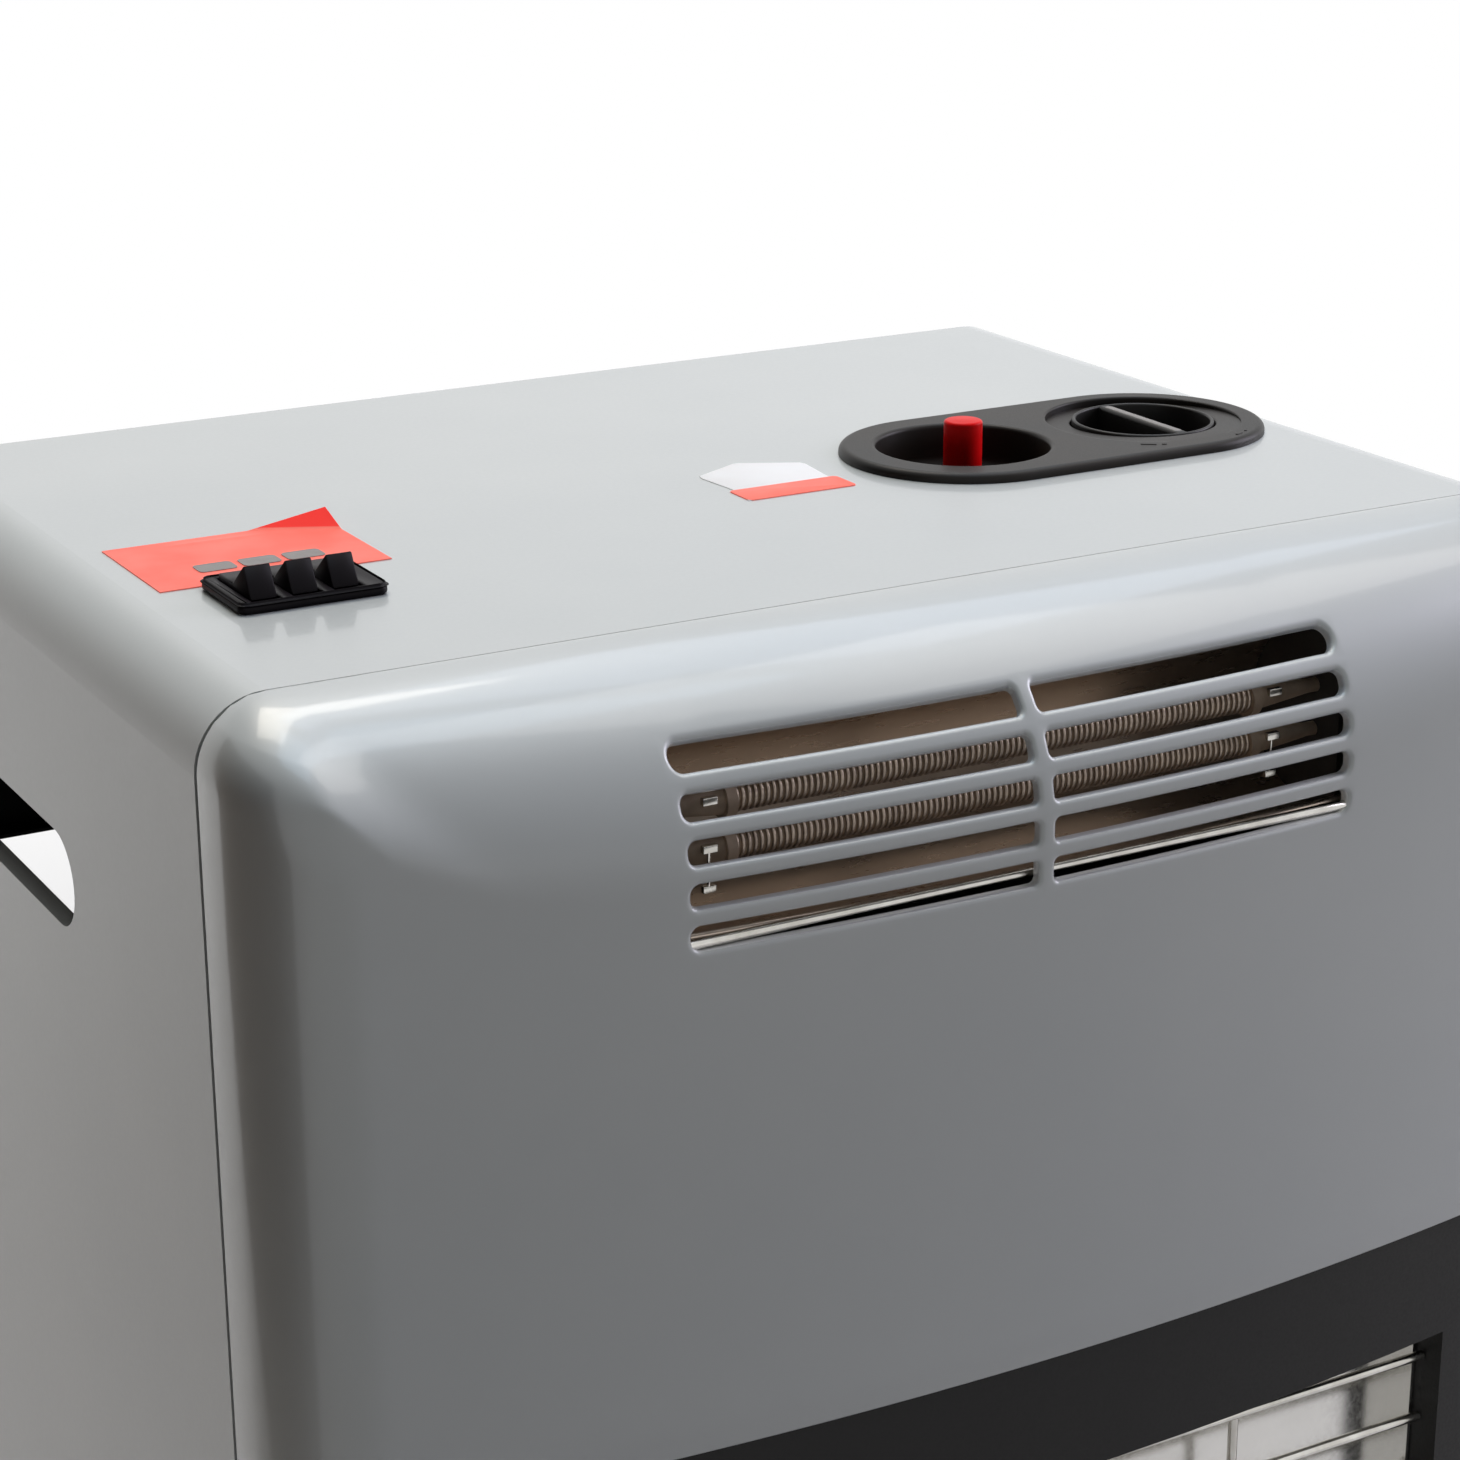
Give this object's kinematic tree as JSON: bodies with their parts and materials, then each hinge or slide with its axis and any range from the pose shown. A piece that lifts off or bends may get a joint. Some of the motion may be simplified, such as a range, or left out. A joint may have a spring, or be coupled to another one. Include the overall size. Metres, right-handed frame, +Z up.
{
  "type": "cabinet gas heater",
  "caption": "Cabinet heater on casters with a gas burner window, a slotted top grille over electric elements, rocker switches, an igniter, a gas knob and a bottle bay.",
  "frame": {"origin": "on the ground, in the middle of the box round the whole heater", "axes": "+Z up, -Y out of the front with the burner window, +X to the right when the front is seen from ahead"},
  "size_m": [0.42, 0.378, 0.7309],
  "materials": {
    "silver_lacquer": "glossy metallic lacquer",
    "black_enamel": "semi-matte heat resistant enamel",
    "zinc_steel": "zinc plated sheet",
    "bright_steel": "bright plated",
    "reflector_steel": "heat tinted stainless sheet",
    "dark_steel": "dark heat resistant paint",
    "element_ceramic": "unglazed ceramic",
    "heating_wire": "oxidised resistance wire",
    "plaque_ceramic": "perforated ceramic plaque",
    "electrode_ceramic": "glazed white ceramic",
    "bezel_plastic": "satin black moulding",
    "rocker_plastic": "matt black moulding",
    "knob_plastic": "satin black moulding",
    "inner_plastic": "moulded",
    "button_red": "glossy moulded red",
    "brass_parts": "machined brass",
    "copper_pipe": "drawn copper",
    "film_red": "translucent red film",
    "mark_grey": "printed grey fields",
    "label_white": "blank coated paper",
    "wheel_rubber": "moulded black wheel"
  },
  "bodies": {
    "cabinet": {"housing_wrap": "silver_lacquer", "front_cover": "silver_lacquer", "burner_surround": "black_enamel", "lower_panel": "silver_lacquer", "heat_shield": "zinc_steel", "floor_pan": "zinc_steel", "upper_rear_panel": "black_enamel", "rear_screws": "bright_steel", "mains_gland": "inner_plastic", "element_reflector": "reflector_steel", "element_cheeks": "dark_steel", "heating_element_upper": "element_ceramic", "heating_element_lower": "element_ceramic", "heating_coil_upper": "heating_wire", "heating_coil_lower": "heating_wire", "switch_frame": "bezel_plastic", "switch_block": "inner_plastic", "rocker_pin": "bright_steel", "switch_terminals": "brass_parts", "control_bezel": "bezel_plastic", "igniter_body": "inner_plastic", "gas_valve_body": "brass_parts", "valve_bracket": "zinc_steel", "gas_inlet": "brass_parts", "feed_pipe": "copper_pipe", "burner_box": "zinc_steel", "burner_plaques": "plaque_ceramic", "burner_reflector": "bright_steel", "burner_guard": "bright_steel", "pilot_burner": "bright_steel", "thermocouple": "copper_pipe", "spark_electrode": "electrode_ceramic", "red_film": "film_red", "rocker_marks": "mark_grey", "blank_label": "label_white", "caster_plates": "zinc_steel", "caster_screws": "bright_steel"},
    "rear_cover": {"rear_cover": "silver_lacquer"},
    "rocker_1": {"rocker_1": "rocker_plastic"},
    "rocker_2": {"rocker_2": "rocker_plastic"},
    "rocker_3": {"rocker_3": "rocker_plastic"},
    "igniter_button": {"igniter_button": "button_red"},
    "valve_plug": {"valve_plug": "brass_parts"},
    "gas_knob": {"gas_knob": "knob_plastic", "valve_spindle": "brass_parts"},
    "caster_swivel_front_left": {"caster_fork_front_left": "zinc_steel", "caster_axle_front_left": "bright_steel"},
    "caster_wheel_front_left": {"caster_wheel_front_left": "wheel_rubber"},
    "caster_swivel_front_right": {"caster_fork_front_right": "zinc_steel", "caster_axle_front_right": "bright_steel"},
    "caster_wheel_front_right": {"caster_wheel_front_right": "wheel_rubber"},
    "caster_swivel_rear_left": {"caster_fork_rear_left": "zinc_steel", "caster_axle_rear_left": "bright_steel"},
    "caster_wheel_rear_left": {"caster_wheel_rear_left": "wheel_rubber"},
    "caster_swivel_rear_right": {"caster_fork_rear_right": "zinc_steel", "caster_axle_rear_right": "bright_steel"},
    "caster_wheel_rear_right": {"caster_wheel_rear_right": "wheel_rubber"}
  },
  "joints": [
    {"name": "rear_cover_pull", "type": "slide", "parent": "cabinet", "child": "rear_cover", "axis": [0, 1, 0], "range_m": [0, 0.25]},
    {"name": "rocker_1_rock", "type": "hinge", "parent": "cabinet", "child": "rocker_1", "pos_m": [-0.1649, -0.0547, 0.7176], "axis": [1, 0, 0], "range_deg": [0, 38]},
    {"name": "rocker_2_rock", "type": "hinge", "parent": "cabinet", "child": "rocker_2", "pos_m": [-0.1533, -0.0547, 0.7176], "axis": [1, 0, 0], "range_deg": [0, 38]},
    {"name": "rocker_3_rock", "type": "hinge", "parent": "cabinet", "child": "rocker_3", "pos_m": [-0.1417, -0.0547, 0.7176], "axis": [1, 0, 0], "range_deg": [0, 38]},
    {"name": "igniter_press", "type": "slide", "parent": "cabinet", "child": "igniter_button", "axis": [0, 0, -1], "range_m": [0, 0.006], "stiffness_N_per_m": 400, "springref_m": -0.003},
    {"name": "valve_turn", "type": "hinge", "parent": "cabinet", "child": "valve_plug", "pos_m": [0.1533, -0.0155, 0.72], "axis": [0, 0, 1], "range_deg": [0, 210]},
    {"name": "knob_push", "type": "slide", "parent": "valve_plug", "child": "gas_knob", "axis": [0, 0, -1], "range_m": [0, 0.004], "stiffness_N_per_m": 500, "springref_m": -0.003},
    {"name": "swivel_front_left", "type": "hinge", "parent": "cabinet", "child": "caster_swivel_front_left", "pos_m": [-0.17, -0.121, 0.0503], "axis": [0, 0, 1], "continuous": true},
    {"name": "roll_front_left", "type": "hinge", "parent": "caster_swivel_front_left", "child": "caster_wheel_front_left", "pos_m": [-0.17, -0.107, 0.02], "axis": [1, 0, 0], "continuous": true},
    {"name": "swivel_front_right", "type": "hinge", "parent": "cabinet", "child": "caster_swivel_front_right", "pos_m": [0.17, -0.121, 0.0503], "axis": [0, 0, 1], "continuous": true},
    {"name": "roll_front_right", "type": "hinge", "parent": "caster_swivel_front_right", "child": "caster_wheel_front_right", "pos_m": [0.17, -0.107, 0.02], "axis": [1, 0, 0], "continuous": true},
    {"name": "swivel_rear_left", "type": "hinge", "parent": "cabinet", "child": "caster_swivel_rear_left", "pos_m": [-0.17, 0.107, 0.0503], "axis": [0, 0, 1], "continuous": true},
    {"name": "roll_rear_left", "type": "hinge", "parent": "caster_swivel_rear_left", "child": "caster_wheel_rear_left", "pos_m": [-0.17, 0.121, 0.02], "axis": [1, 0, 0], "continuous": true},
    {"name": "swivel_rear_right", "type": "hinge", "parent": "cabinet", "child": "caster_swivel_rear_right", "pos_m": [0.17, 0.107, 0.0503], "axis": [0, 0, 1], "continuous": true},
    {"name": "roll_rear_right", "type": "hinge", "parent": "caster_swivel_rear_right", "child": "caster_wheel_rear_right", "pos_m": [0.17, 0.121, 0.02], "axis": [1, 0, 0], "continuous": true}
  ]
}
